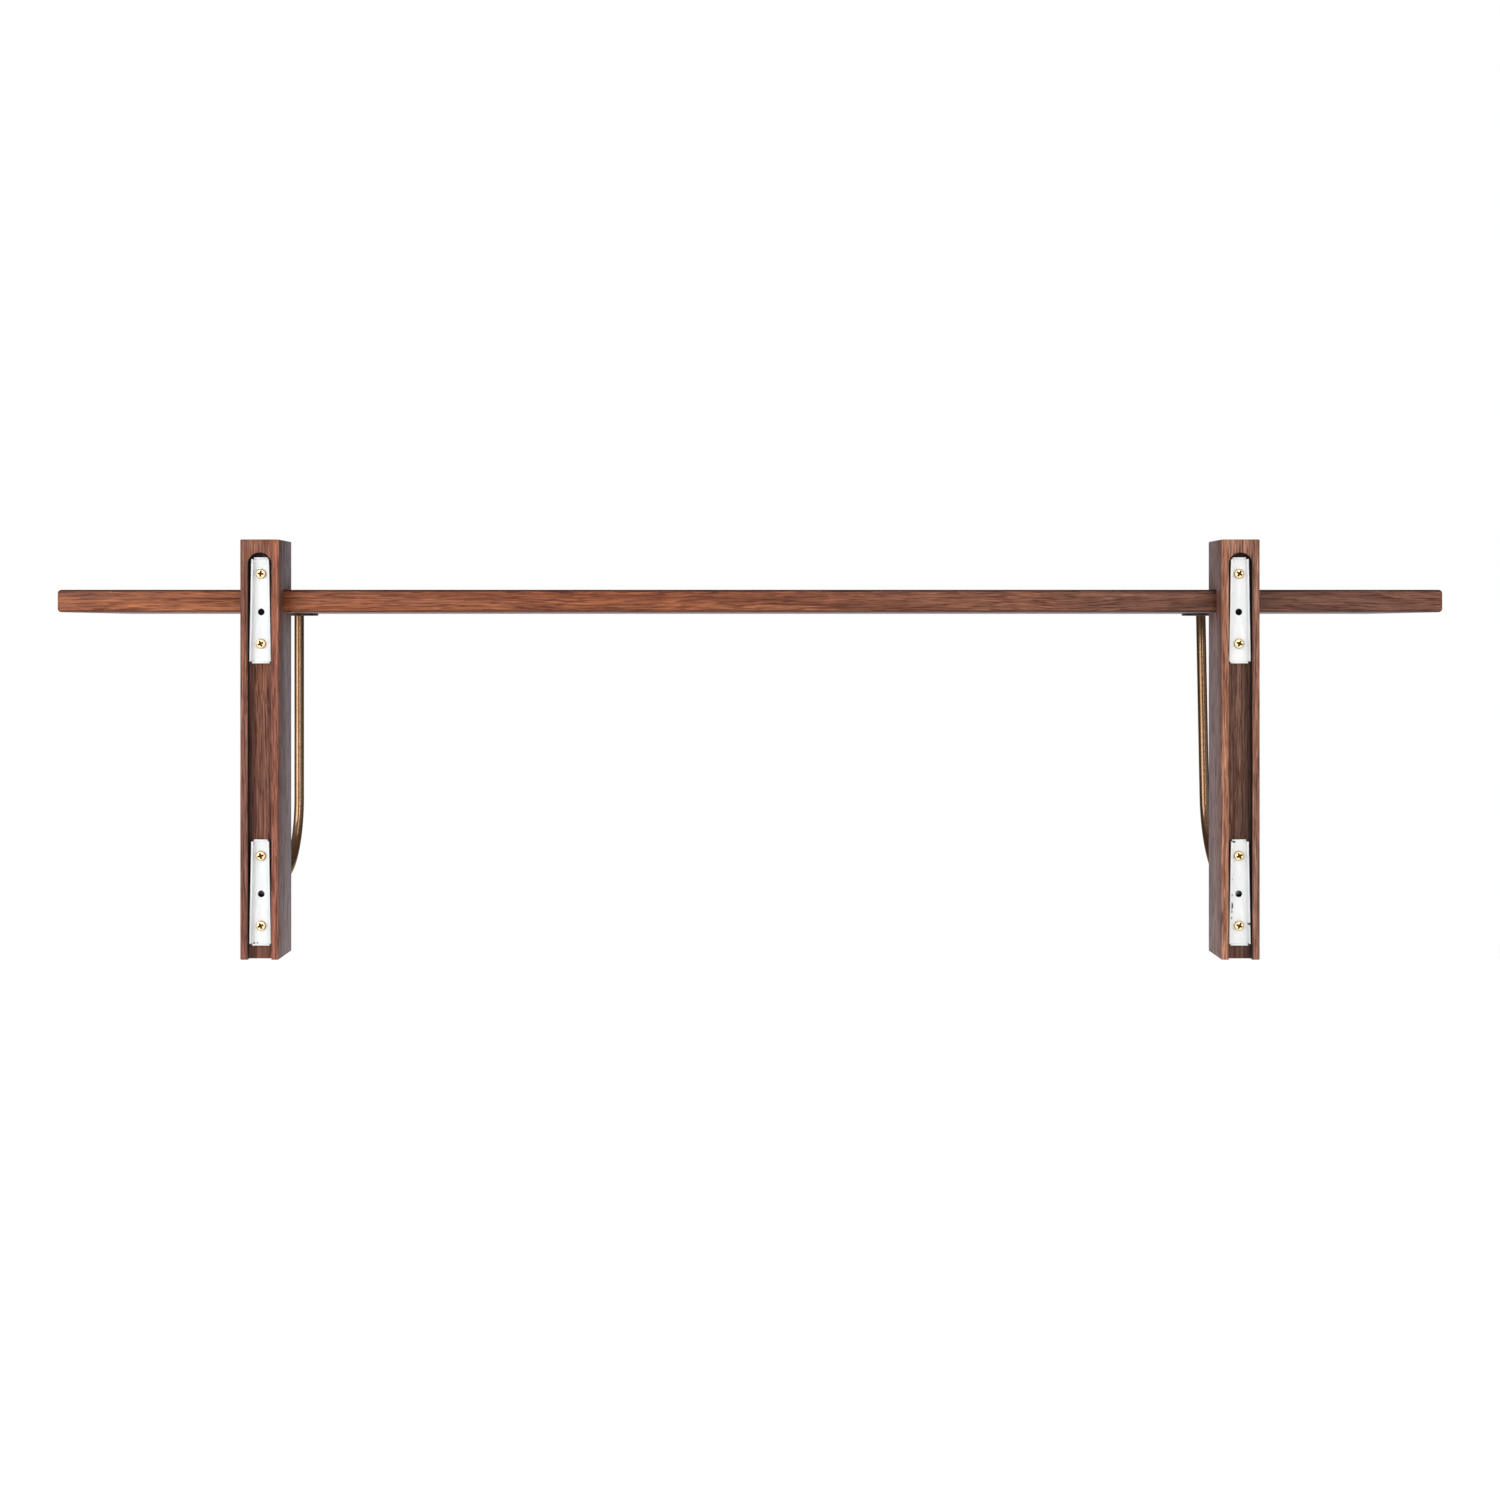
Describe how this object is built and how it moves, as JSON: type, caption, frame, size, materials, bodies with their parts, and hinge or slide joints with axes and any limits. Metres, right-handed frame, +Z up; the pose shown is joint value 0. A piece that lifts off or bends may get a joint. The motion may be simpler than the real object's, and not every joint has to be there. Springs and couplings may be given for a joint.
{
  "type": "wall shelf with brackets",
  "caption": "Wooden wall shelf housed in two uprights, each propped by a bent metal rod, with tapered hanger plates let into the backs.",
  "frame": {"origin": "on the wall plane, midway between the uprights, at the height of the board's top face", "axes": "+X along the board to the right of a person who faces the shelf, +Y into the wall, +Z up"},
  "size_m": [1.2, 0.219, 0.36],
  "materials": {
    "walnut": "satin open-pore walnut",
    "antique_brass": "antiqued and brushed",
    "bright_brass": "bright plated",
    "dark_bronze": "satin dark bronze",
    "white_paint": "semi-gloss white paint, chipped",
    "zinc_steel": "zinc plated"
  },
  "bodies": {
    "root": {"shelf_board": "walnut", "left_upright": "walnut", "left_rod": "antique_brass", "left_rod_flange": "dark_bronze", "left_rod_bolt": "zinc_steel", "left_rod_washer": "zinc_steel", "left_board_screw": "zinc_steel", "left_flange_screw_1": "dark_bronze", "left_flange_screw_2": "dark_bronze", "left_flange_screw_3": "dark_bronze", "left_upper_hanger": "white_paint", "left_upper_hanger_screw_top": "bright_brass", "left_upper_hanger_screw_bottom": "bright_brass", "left_lower_hanger": "white_paint", "left_lower_hanger_screw_top": "bright_brass", "left_lower_hanger_screw_bottom": "bright_brass", "right_upright": "walnut", "right_rod": "antique_brass", "right_rod_flange": "dark_bronze", "right_rod_bolt": "zinc_steel", "right_rod_washer": "zinc_steel", "right_board_screw": "zinc_steel", "right_flange_screw_1": "dark_bronze", "right_flange_screw_2": "dark_bronze", "right_flange_screw_3": "dark_bronze", "right_upper_hanger": "white_paint", "right_upper_hanger_screw_top": "bright_brass", "right_upper_hanger_screw_bottom": "bright_brass", "right_lower_hanger": "white_paint", "right_lower_hanger_screw_top": "bright_brass", "right_lower_hanger_screw_bottom": "bright_brass"}
  },
  "joints": []
}
